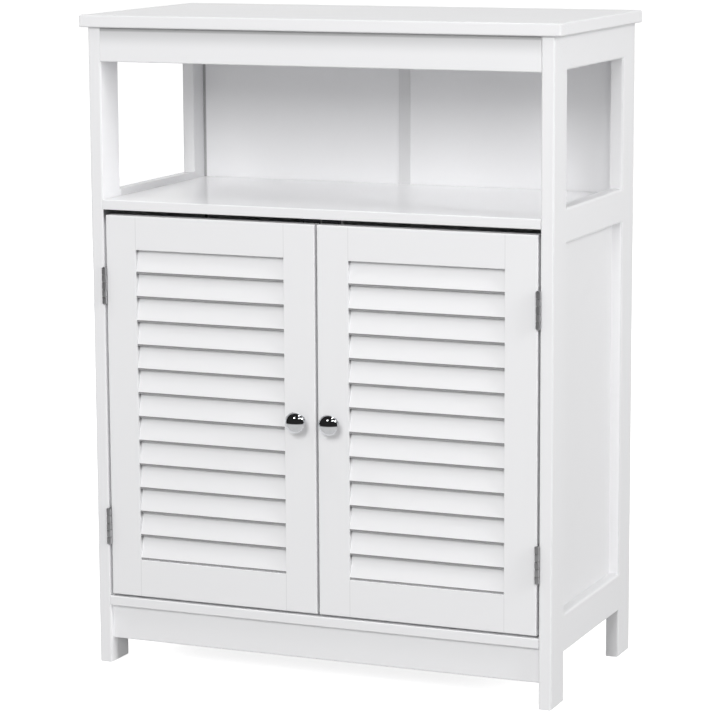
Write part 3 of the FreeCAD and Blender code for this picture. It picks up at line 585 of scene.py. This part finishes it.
def backing_paint(name):
    """Printed white hardboard with fine mottle, and painted shade in the joint where its edge is
    let in.
    """
    paint = bpy.context.scene.cabinet_paint
    finish = Finish(name, IOR=1.46, Specular_IOR_Level=0.3)
    mottle = finish.noise(240.0, 4.0, roughness=0.65)
    clouds = finish.noise(9.0)
    shade = finish.tints(mottle, paint.colour, 1.07, 1.10)
    shade = finish.mix(clouds, shade, tint(paint.colour, 1.09))
    reach = finish.size(finish.along(finish.place)[0])
    front = finish.ramp(-1 * finish.along(finish.facing)[1], 0.5, 0.9)
    side_face = extent("right_side_frame")[0][0]
    # painted shade of the groove along the side frames, on the panel's front face
    joint = finish.ramp(reach, side_face - 0.0040, side_face - 0.0032) * front
    finish.colour(finish.mix(joint, shade, tint(paint.colour, 0.5)))
    finish.roughness(paint.roughness + 0.12 + 0.10 * (mottle - 0.5))
    finish.bump(mottle, paint.orange_peel * 1.5)


def strip_plastic(name):
    """Extruded white plastic with faint draw lines along its length."""
    paint = bpy.context.scene.cabinet_paint
    finish = Finish(name, IOR=1.5)
    lines = finish.noise(1.0, 3.0, finish.stretched((1400.0, 1400.0, 3.0)))
    finish.colour(finish.tints(lines, paint.colour, 0.88, 0.92))
    finish.roughness(0.3 + 0.12 * lines)
    finish.bump(lines, 0.00002)


def moulded_plastic(name):
    """Moulded plastic with a fine spark-eroded grain, and painted shade on its front behind the
    doors.
    """
    metal = bpy.context.scene.cabinet_fittings
    finish = Finish(name, IOR=1.5)
    grain = finish.noise(2600.0, 3.0)
    shade = finish.tints(grain, metal.plastic, 0.97, 1)
    # painted shade on the front, behind the doors
    front = finish.ramp(-1 * finish.along(finish.facing)[1], 0.1, 0.4)
    finish.colour(finish.mix(front, shade, tint(metal.plastic, 0.2)))
    finish.roughness(0.42 + 0.16 * (grain - 0.5))
    finish.bump(grain, 0.00003)


def chrome(name):
    """Polished chrome plate: bright, with a trace of handling haze."""
    metal = bpy.context.scene.cabinet_fittings
    finish = Finish(name, Metallic=1.0)
    haze = finish.ramp(finish.noise(160.0, 3.0), 0.45, 0.75)
    wave = finish.noise(300.0, 1.0)
    finish.colour(finish.tints(haze, metal.chrome, 1, 0.96))
    finish.roughness(0.035 + 0.05 * haze)
    finish.bump(wave, 0.000004)


def nickel(name, shading=1.0):
    """Nickel-plated steel with drawn lines along the hinge and worn, lighter patches."""
    metal = bpy.context.scene.cabinet_fittings
    finish = Finish(name, Metallic=1.0)
    drawn = finish.noise(1.0, 3.0, finish.stretched((2600.0, 2600.0, 60.0)))
    patches = finish.noise(90.0, 3.0)
    # shading below 1 makes a darker copy of the plate, as painted shade
    plate = tint(metal.nickel, shading)
    shade = finish.tints(patches, plate, 0.82, 1.05)
    finish.colour(finish.mix(drawn, shade, tint(plate, 0.95)))
    finish.roughness(0.28 + 0.14 * drawn + 0.08 * patches)
    finish.bump(drawn, 0.00002)


def shaded_nickel(name):
    """The same plate drawn darker, as painted shade, for the frame's hinge halves and the pins."""
    nickel(name, 0.88)


def zinc(name):
    """Zinc-plated screw steel, lightly frosted."""
    metal = bpy.context.scene.cabinet_fittings
    finish = Finish(name, Metallic=1.0)
    frost = finish.noise(1400.0, 3.0)
    finish.colour(finish.tints(frost, metal.zinc, 0.9, 1.05))
    finish.roughness(0.25 + 0.15 * frost)
    finish.bump(frost, 0.00002)


def magnet_steel(name):
    """Dark ground steel of the magnet's pole plates."""
    finish = Finish(name, Metallic=1.0)
    ground = finish.noise(1.0, 3.0, finish.stretched((90.0, 2400.0, 2400.0)))
    finish.colour(finish.mix(ground, (0.05, 0.05, 0.055, 1), (0.12, 0.12, 0.125, 1)))
    finish.roughness(0.35 + 0.2 * ground)
    finish.bump(ground, 0.00002)


def dress(node, finish):
    """Give a carried-over board its finish."""
    mesh = frame["nodes"][node].data
    mesh.materials.clear()
    mesh.materials.append(finish)


# ------------------------------------------------------------------ settings

class CabinetPaint(bpy.types.PropertyGroup):
    colour: bpy.props.FloatVectorProperty(
        name="Paint", description="Colour of the sprayed paint", subtype="COLOR",
        default=(0.77, 0.77, 0.78), min=0, max=1)
    roughness: bpy.props.FloatProperty(
        name="Sheen", description="Roughness of the paint: lower is glossier",
        default=0.30, min=0, max=1, subtype="FACTOR")
    clouding: bpy.props.FloatProperty(
        name="Clouding", description="How much the paint's shade wanders across a board",
        default=0.012, min=0, max=0.2, subtype="FACTOR")
    orange_peel: bpy.props.FloatProperty(
        name="Orange peel", description="Depth of the sprayed paint's texture",
        default=0.00005, min=0, max=0.001, unit="LENGTH")


class CabinetLouvres(bpy.types.PropertyGroup):
    thickness: bpy.props.FloatProperty(
        name="Thickness", description="Thickness of a louvre slat",
        default=0.005, min=0.002, max=0.02, unit="LENGTH")
    chord: bpy.props.FloatProperty(
        name="Width", description="Width of a slat across its blade",
        default=0.036, min=0.01, max=0.1, unit="LENGTH")
    tilt: bpy.props.FloatProperty(
        name="Tilt", description="Lean of the slats, tops to the rear",
        default=math.radians(16), subtype="ANGLE")
    softness: bpy.props.FloatProperty(
        name="Edge radius", description="Rounding of a slat's long edges",
        default=0.0021, min=0.0001, max=0.0024, unit="LENGTH")


class CabinetFittings(bpy.types.PropertyGroup):
    chrome: bpy.props.FloatVectorProperty(
        name="Chrome", description="Colour of the knobs", subtype="COLOR",
        default=(0.83, 0.84, 0.86), min=0, max=1)
    nickel: bpy.props.FloatVectorProperty(
        name="Nickel", description="Colour of the hinges", subtype="COLOR",
        default=(0.74, 0.74, 0.75), min=0, max=1)
    zinc: bpy.props.FloatVectorProperty(
        name="Zinc", description="Colour of the screws", subtype="COLOR",
        default=(0.62, 0.62, 0.60), min=0, max=1)
    plastic: bpy.props.FloatVectorProperty(
        name="Plastic", description="Colour of the magnetic catch", subtype="COLOR",
        default=(0.80, 0.80, 0.79), min=0, max=1)
    hinge_length: bpy.props.FloatProperty(
        name="Hinge length", description="Length of a hinge's leaves and barrel",
        default=0.045, min=0.01, max=0.2, unit="LENGTH")
    knuckle_radius: bpy.props.FloatProperty(
        name="Knuckle radius", description="Outer radius of the hinge's barrel",
        default=0.003, min=0.001, max=0.01, unit="LENGTH")
    leaf_thickness: bpy.props.FloatProperty(
        name="Leaf thickness", description="Thickness of a hinge leaf",
        default=0.0012, min=0.0005, max=0.004, unit="LENGTH")
    knuckles: bpy.props.IntProperty(
        name="Knuckles", description="Knuckles in a hinge's barrel", default=5, min=3, max=9)
    screw_pitch: bpy.props.FloatProperty(
        name="Screw pitch", description="Distance between the two screws of a leaf",
        default=0.026, min=0.005, max=0.1, unit="LENGTH")


class CabinetStudio(bpy.types.PropertyGroup):
    place: bpy.props.FloatVectorProperty(
        name="Camera", description="Place of the camera", subtype="TRANSLATION",
        default=(1.390, -3.312, 0.990))
    heading: bpy.props.FloatProperty(
        name="Heading", description="Camera's turn to the left of straight back",
        default=math.radians(22.79), subtype="ANGLE")
    pitch: bpy.props.FloatProperty(
        name="Pitch", description="How far the camera looks down",
        default=math.radians(9.70), subtype="ANGLE")
    roll: bpy.props.FloatProperty(
        name="Roll", description="Camera's turn about its own view",
        default=math.radians(-0.30), subtype="ANGLE")
    lens: bpy.props.FloatProperty(
        name="Lens", description="Focal length on a 36 mm sensor, in millimetres",
        default=148.5, min=10, max=500)
    floor: bpy.props.FloatVectorProperty(
        name="Floor", description="Colour of the floor", subtype="COLOR",
        default=(0.86, 0.86, 0.86), min=0, max=1)
    glow: bpy.props.FloatProperty(
        name="Floor glow", description="Light that the lit floor gives off by itself",
        default=0.68, min=0, max=2)
    ground: bpy.props.FloatProperty(
        name="Floor in gloss", description="Brightness of the floor as metal mirrors it",
        default=0.62, min=0, max=2)
    sky: bpy.props.FloatProperty(
        name="Room light", description="Even light from all round",
        default=0.51, min=0, max=3)
    key: bpy.props.FloatProperty(
        name="Key light", description="Power of the large light in front", default=101.0,
        min=0, max=2000, unit="POWER")
    right: bpy.props.FloatProperty(
        name="Right light", description="Power of the soft light on the right", default=36.0,
        min=0, max=2000, unit="POWER")
    left: bpy.props.FloatProperty(
        name="Left light", description="Power of the small high light on the left",
        default=9.0, min=0, max=2000, unit="POWER")
    fill: bpy.props.FloatProperty(
        name="Fill light", description="Power of the weak light from the front right",
        default=8.0, min=0, max=2000, unit="POWER")
    rear: bpy.props.FloatProperty(
        name="Rear light", description="Power of the large light behind", default=70.0,
        min=0, max=2000, unit="POWER")


# ------------------------------------------------------------------ operators

class CABINET_OT_boards(bpy.types.Operator):
    """Paint the boards of the carcass and of the door frames"""

    bl_idname = "cabinet.boards"
    bl_label = "Painted boards"

    def execute(self, context):
        paint = made("satin_white_paint", satin_paint)
        backing = made("white_backing_board", backing_paint)
        strip = made("white_strip_plastic", strip_plastic)
        shelving = made("white_melamine", melamine)
        for node in frame["nodes"]:
            if node.startswith("back_panel"):
                dress(node, backing)
            elif node == "back_joining_strip":
                dress(node, strip)
            elif node in ("open_shelf", "inner_shelf", "bottom_panel"):
                dress(node, shelving)
            else:
                dress(node, paint)
        return {"FINISHED"}


class CABINET_OT_louvres(bpy.types.Operator):
    """Make the louvre slats with soft edges, one at a time, where the doors hold them"""

    bl_idname = "cabinet.louvres"
    bl_label = "Louvre slats"

    def execute(self, context):
        louvres = context.scene.cabinet_louvres
        paint = made("sprayed_slat_paint", slat_paint)
        lean = louvres.tilt
        upward = np.array([0, math.sin(lean), math.cos(lean)])
        across = np.array([0, math.cos(lean), -math.sin(lean)])
        outline = rectangle(louvres.thickness, louvres.chord, louvres.softness, steps=6)
        for door in DOORS:
            slats = sorted(node for node in frame["nodes"] if node.startswith(f"{door}_slat"))
            if not slats:
                raise RuntimeError(f"{door} has no slats")
            for node in slats:
                low, middle, high = extent(node)
                grids = sweep(outline, high[0] - low[0], middle, (across, upward, X))
                build(f"{node}_blade", grids, door, paint, [node])
        return {"FINISHED"}


class CABINET_OT_knobs(bpy.types.Operator):
    """Turn the two mushroom knobs"""

    bl_idname = "cabinet.knobs"
    bl_label = "Chrome knobs"

    def execute(self, context):
        plate = made("chrome_plate", chrome)
        mm = MILLIMETRE
        for door in DOORS:
            node = f"{door}_knob"
            low, middle, high = extent(node)
            face = np.array([middle[0], high[1], middle[2]])
            radius = (high[0] - low[0]) / 2
            tall = high[1] - low[1]
            profile = [
                (0, 0), (7.0 * mm, 0, 0.3 * mm), (7.0 * mm, 1.5 * mm, 0.5 * mm),
                (4.6 * mm, 2.2 * mm, 2.0 * mm), (4.4 * mm, 9.5 * mm, 6.0 * mm),
                (radius - 1.0 * mm, 15.0 * mm, 1.0 * mm), (radius, 16.4 * mm, 1.2 * mm)]
            rim = 17.2 * mm
            rise = tall - rim
            sphere = (radius ** 2 + rise ** 2) / (2 * rise)
            widest = math.asin(radius / sphere)
            angles = np.linspace(widest, 0, 28)
            points, normals = rounded_path(profile, closed=False, steps=8)
            dome = np.stack([sphere * np.sin(angles), tall - sphere + sphere * np.cos(angles)], 1)
            lean = np.stack([np.sin(angles), np.cos(angles)], 1)
            outline = np.concatenate([points, dome]), np.concatenate([normals, lean])
            build(f"{door}_turned_knob", turned(outline, face, -Y, 72), door,
                  plate, [node])
        return {"FINISHED"}


def hinge_places(door):
    """Barrel axis of a door's two hinges and the height of each one's lower end."""
    joint = next(joint for joint in frame["joints"] if joint["child"] == door)
    low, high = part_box(f"{door}_hinge_leaves")
    length = bpy.context.scene.cabinet_fittings.hinge_length
    return np.array(joint["pos_m"][:2]), (low[2], high[2] - length)


def half_hinge(axis, bottom, side, rear, on_door):
    """One leaf of a butt hinge: its plate, its necks and every other knuckle of the barrel."""
    fittings = bpy.context.scene.cabinet_fittings
    radius = fittings.knuckle_radius
    thick = fittings.leaf_thickness
    pitch = fittings.hinge_length / fittings.knuckles
    towards = -side if on_door else side
    low_x, high_x = sorted(axis[0] + towards * np.array([LEAF_GAP - thick, LEAF_GAP]))
    front = axis[1] + radius + LEAF_STEP
    neck_front, neck_rear = axis[1] + 0.0022, front + 0.001
    bore, rim, soft = PIN_RADIUS + PIN_PLAY, 0.0006, 0.0002
    top = bottom + fittings.hinge_length
    tall = pitch - KNUCKLE_PLAY
    grids = block((low_x, front, bottom), (high_x, rear, top), soft, 2, 2)
    barrel = rounded_path([(bore, 0), (radius, 0, rim), (radius, tall, rim), (bore, tall)],
                          steps=4)
    for number in range(1 if on_door else 0, fittings.knuckles, 2):
        low = bottom + number * pitch + KNUCKLE_PLAY / 2
        grids += turned(barrel, (*axis, low), Z, 40)
        grids += block((low_x, neck_front, low), (high_x, neck_rear, low + tall), soft, 2, 2)
    return grids


class CABINET_OT_hinges(bpy.types.Operator):
    """Make the butt hinges: leaves with curled knuckles, and their pins"""

    bl_idname = "cabinet.hinges"
    bl_label = "Butt hinges"

    def execute(self, context):
        steel = made("nickel_plate", nickel)
        length = context.scene.cabinet_fittings.hinge_length
        fixed = []
        pins = []
        rim = 0.0005
        pin_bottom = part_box("hinge_pins")[0][2]
        for door, side in DOORS.items():
            axis, bottoms = hinge_places(door)
            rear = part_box(f"{door}_hinge_leaves")[1][1]
            proud = bottoms[0] - pin_bottom
            moving = []
            for bottom in bottoms:
                fixed += half_hinge(axis, bottom, side, rear, False)
                moving += half_hinge(axis, bottom, side, rear, True)
                tall = length + 2 * proud
                outline = rounded_path([(0, 0), (PIN_RADIUS, 0, rim), (PIN_RADIUS, tall, rim),
                                        (0, tall)], closed=False, steps=4)
                pins += turned(outline, (*axis, bottom - proud), Z, 32)
            build(f"{door}_hinge_halves", moving, door, steel,
                  [f"{door}_hinge_leaves"])
        # painted shade: the frame's hinge halves and the pins take a darker copy of the nickel
        # plate
        shaded_steel = made("dull_nickel_plate", shaded_nickel)
        build("frame_hinge_halves", fixed, "cabinet", shaded_steel, ["frame_hinge_leaves"])
        build("turned_hinge_pins", pins, "cabinet", shaded_steel, ["hinge_pins"])
        return {"FINISHED"}


def wood_screw(head, direction, length=0.012):
    """Countersunk screw: its flush head faces along the direction, its tip lies behind."""
    shank, wide, sink, point, sides = 0.00125, 0.00244, 0.0012, 0.002, 32
    flank = rounded_path([(0, -length), (shank, point - length), (shank, -sink), (wide, 0)],
                         closed=False)
    return (turned(flank, head, direction, sides)
            + recessed_head(wide, 0.0, 0.0011, head, direction, sides))


def leaf_screws(door, side, on_door):
    """Screws of the four holes in a door's leaves, or in the frame's leaves facing them."""
    fittings = bpy.context.scene.cabinet_fittings
    axis, bottoms = hinge_places(door)
    towards = -side if on_door else side
    head_x = axis[0] + towards * (LEAF_GAP - fittings.leaf_thickness)
    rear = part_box(f"{door}_hinge_leaves")[1][1]
    head_y = (axis[1] + fittings.knuckle_radius + LEAF_STEP + rear) / 2
    grids = []
    for bottom in bottoms:
        for step in (-0.5, 0.5):
            height = bottom + fittings.hinge_length / 2 + step * fittings.screw_pitch
            grids += wood_screw((head_x, head_y, height), -towards * X)
    return grids


class CABINET_OT_screws(bpy.types.Operator):
    """Make the countersunk screws and the knobs' pan head screws, with cross recesses"""

    bl_idname = "cabinet.screws"
    bl_label = "Screws"

    def execute(self, context):
        steel = made("zinc_plate", zinc)
        fixed = []
        for door, side in DOORS.items():
            fixed += leaf_screws(door, side, False)
            moving = leaf_screws(door, side, True)
            _, middle, high = extent(f"{door}_striker")
            moving += wood_screw((middle[0], high[1], middle[2]), Y)
            middle = extent(f"{door}_knob")[1]
            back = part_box(f"{door}_meeting_stile")[1][1]
            centre = np.array([middle[0], back, middle[2]])
            wide, thin, length = 0.0040, 0.0019, 0.0235
            pan = rounded_path([(0, 0), (wide, 0, 0.0002), (wide, 0.0014, 0.0006)],
                               closed=False, steps=4)
            moving += turned(pan, centre, Y, 40)
            rim, tall = pan[0][-1]
            moving += recessed_head(rim, 0.0009, 0.0016, centre + tall * Y, Y, 48)
            shank = rounded_path([(thin, 0.0002), (thin, -length, 0.0004), (0, -length)],
                                 closed=False)
            moving += turned(shank, centre, Y, 24)
            build(f"{door}_screw_set", moving, door, steel, [f"{door}_screws"])
        low, _, high = extent("magnetic_catch")
        housing_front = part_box("left_door_striker")[1][1] + 0.0013
        fixed += wood_screw((0, (housing_front + high[1]) / 2, low[2]), -Z, 0.020)
        build("carcass_screw_set", fixed, "cabinet", steel, ["cabinet_screws"])
        return {"FINISHED"}


class CABINET_OT_fittings(bpy.types.Operator):
    """Make the magnetic catch and its striker plates, and plate the shelf pins"""

    bl_idname = "cabinet.fittings"
    bl_label = "Catch and shelf pins"

    def execute(self, context):
        plastic = made("moulded_plastic", moulded_plastic)
        steel = made("nickel_plate", nickel)
        poles = made("magnet_steel", magnet_steel)
        low, _, high = extent("magnetic_catch")
        front = low[1] + 0.001
        housing = block((low[0], front, low[2]), high, 0.0012, 0, 5)
        build("catch_housing", housing, "cabinet", plastic, ["magnetic_catch"])
        magnets = []
        half = 0.0113
        for door in DOORS:
            plate_low, middle, plate_high = extent(f"{door}_striker")
            magnets += block((middle[0] - half, low[1], low[2] + 0.0005),
                             (middle[0] + half, front + 0.003, high[2] - 0.0006), 0.0003, 0, 2)
            size = plate_high - plate_low
            outline = rectangle(size[0], size[2], 0.0015, 6)
            plate = sweep(outline, size[1], middle, (X, Z, -Y), 0.0002, 2)
            build(f"{door}_striker_plate", plate, door, steel,
                  [f"{door}_striker"])
        build("catch_poles", magnets, "cabinet", poles)
        dress("shelf_pins", steel)
        return {"FINISHED"}


class CABINET_OT_studio(bpy.types.Operator):
    """Set the floor, the soft lights, the room's light and the camera"""

    bl_idname = "cabinet.studio"
    bl_label = "Studio"

    def execute(self, context):
        studio = context.scene.cabinet_studio
        scene = context.scene
        self.floor(studio)
        self.room(studio, scene)
        # name, place, what it faces, width, height, power
        self.lamp("key_light", (0.40, -4.2, 2.30), (0, 0, 0.50), 1.45, 1.6, studio.key)
        self.lamp("right_light", (2.6, -0.5, 1.60), (0, 0, 0.4), 0.7, 1.3, studio.right)
        self.lamp("left_light", (-1.6, -0.9, 3.0), (0, 0, 0.6), 0.4, 0.4, studio.left)
        self.lamp("fill_light", (1.75, -2.5, 1.2), (0, 0, 0.4), 0.6, 1.6, studio.fill)
        self.lamp("rear_light", (-1.9, 3.0, 1.7), (0, 0, 0.45), 1.4, 1.4, studio.rear)
        knobs = (0, -0.15, 0.32)
        self.lamp("front_glint", (-0.40, -2.24, 2.44), knobs, 0.62, 0.62, 5.0, True)
        self.lamp("right_glint", (1.80, -1.50, 2.30), knobs, 1.5, 0.45, 4.0, True)
        self.lamp("edge_glint", (2.30, -0.60, 1.75), knobs, 0.7, 0.7, 4.0, True)
        self.lamp("high_glint", (1.10, -0.50, 2.90), knobs, 1.2, 0.40, 4.0, True)
        self.camera(studio, scene)
        scene.view_settings.view_transform = "Standard"
        return {"FINISHED"}

    def floor(self, studio):
        """Pale floor a hair below the feet, which only the eye and the shadows see, and under it
        the shade that the cabinet's own underside sees in place of the room's light."""
        drop, wide = 0.0002, 40
        self.flat("studio_floor", (-wide, -wide), (wide, wide), -drop, studio.floor, studio.glow)
        low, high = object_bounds()
        grey, glow = (0.1, 0.1, 0.1), 0.12
        shade = self.flat("studio_floor_shade", (low[0] + 0.015, low[1] + 0.035),
                          (high[0] - 0.015, high[1] - 0.010), -2 * drop, grey, glow)
        shade.visible_diffuse = True

    def flat(self, name, low, high, height, colour, glow):
        """Level rectangle between two corners, as a grid of equal steps."""
        across, depth = np.meshgrid(*np.linspace(low, high, 9).T)
        points = np.stack([across, depth, np.full_like(across, height)], -1)
        finish = Finish(name, Specular_IOR_Level=0.1, Roughness=0.8, Emission_Strength=glow)
        grain = finish.noise(60.0, 3.0)
        finish.colour(finish.tints(grain, colour, 0.99, 1.0))
        finish.shader.inputs["Emission Color"].default_value = WHITE
        mesh = bpy.data.meshes.new(name)
        index = np.arange(points.shape[0] * points.shape[1]).reshape(points.shape[:2])
        faces = np.stack([index[:-1, :-1], index[:-1, 1:], index[1:, 1:], index[1:, :-1]], -1)
        mesh.from_pydata(points.reshape(-1, 3), [], faces.reshape(-1, 4))
        mesh.materials.append(finish.material)
        piece = bpy.data.objects.new(name, mesh)
        piece.visible_diffuse = False
        piece.visible_glossy = False
        bpy.context.scene.collection.objects.link(piece)
        piece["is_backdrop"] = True
        return piece

    def room(self, studio, scene):
        """Even white light; gloss sees a dark studio in front and a white wall behind."""
        world = bpy.data.worlds.new("studio_room")
        scene.world = world
        world.use_nodes = True
        nodes = Nodes(world.node_tree)
        _, depth, height = nodes.along(nodes.node("ShaderNodeTexCoord", output="Generated"))
        wall = 0.02 + 0.73 * nodes.ramp(depth, 0.05, 0.60)
        ground = studio.ground * (1 - nodes.ramp(height, -0.30, -0.16))
        mirrored = nodes.node("ShaderNodeMath", {"operation": "MAXIMUM"}, {0: wall, 1: ground})
        light = nodes.node("ShaderNodeBackground", {}, {"Color": WHITE, "Strength": studio.sky})
        gloss = nodes.node("ShaderNodeBackground", {}, {"Color": mirrored})
        backdrop = nodes.node("ShaderNodeBackground", {}, {"Color": WHITE})
        for ray, other in (("Is Glossy Ray", gloss), ("Is Camera Ray", backdrop)):
            path = nodes.node("ShaderNodeLightPath", output=ray)
            light = nodes.node("ShaderNodeMixShader", {}, {0: path, 1: light, 2: other})
        nodes.result("ShaderNodeOutputWorld", light)

    def lamp(self, name, place, aim, wide, high, power, glint=False):
        """Soft light that faces a point; a glint is one that only gloss sees."""
        light = bpy.data.lights.new(name, "AREA")
        light.shape = "ELLIPSE" if glint else "RECTANGLE"
        light.size = wide
        light.size_y = high
        light.energy = power
        lamp = bpy.data.objects.new(name, light)
        lamp.location = place
        lamp.rotation_mode = "QUATERNION"
        lamp.rotation_quaternion = (Vector(aim) - Vector(place)).to_track_quat("-Z", "Y")
        lamp.visible_diffuse = not glint
        lamp.visible_glossy = glint
        bpy.context.scene.collection.objects.link(lamp)

    def camera(self, studio, scene):
        """Aim from heading, pitch and roll: the view's right and up turn about its axis."""
        forward = Vector((-math.sin(studio.heading) * math.cos(studio.pitch),
                          math.cos(studio.heading) * math.cos(studio.pitch),
                          -math.sin(studio.pitch)))
        right = Vector((math.cos(studio.heading), math.sin(studio.heading), 0))
        up = right.cross(forward)
        turned_right = math.cos(studio.roll) * right + math.sin(studio.roll) * up
        turned_up = math.cos(studio.roll) * up - math.sin(studio.roll) * right
        optics = bpy.data.cameras.new("studio_camera")
        optics.sensor_width = 36
        optics.lens = studio.lens
        optics.clip_end = 200
        camera = bpy.data.objects.new("studio_camera", optics)
        camera.matrix_world = Matrix.Translation(studio.place) @ Matrix(
            (turned_right, turned_up, -forward)).transposed().to_4x4()
        scene.collection.objects.link(camera)
        scene.camera = camera


class CABINET_PT_panel(bpy.types.Panel):
    """Settings and steps of the louvred door cabinet"""

    bl_idname = "CABINET_PT_panel"
    bl_label = "Louvred Cabinet"
    bl_space_type = "VIEW_3D"
    bl_region_type = "UI"
    bl_category = "Cabinet"

    def draw(self, context):
        layout = self.layout
        for attribute, group in GROUPS.items():
            box = layout.box()
            settings = getattr(context.scene, attribute)
            for name in group.__annotations__:
                box.prop(settings, name)
        for step in STEPS:
            layout.operator(step.bl_idname)


GROUPS = {
    "cabinet_paint": CabinetPaint,
    "cabinet_louvres": CabinetLouvres,
    "cabinet_fittings": CabinetFittings,
    "cabinet_studio": CabinetStudio,
}
STEPS = (CABINET_OT_boards, CABINET_OT_louvres, CABINET_OT_knobs, CABINET_OT_hinges,
         CABINET_OT_screws, CABINET_OT_fittings, CABINET_OT_studio)
CLASSES = (*GROUPS.values(), *STEPS, CABINET_PT_panel)


def register():
    for kind in CLASSES:
        bpy.utils.register_class(kind)
    for attribute, group in GROUPS.items():
        setattr(bpy.types.Scene, attribute, bpy.props.PointerProperty(type=group))


def unregister():
    for attribute in GROUPS:
        delattr(bpy.types.Scene, attribute)
    for kind in reversed(CLASSES):
        bpy.utils.unregister_class(kind)


def main():
    register()
    for step in STEPS:
        family, name = step.bl_idname.split(".")
        getattr(getattr(bpy.ops, family), name)()


if __name__ == "__main__":
    main()
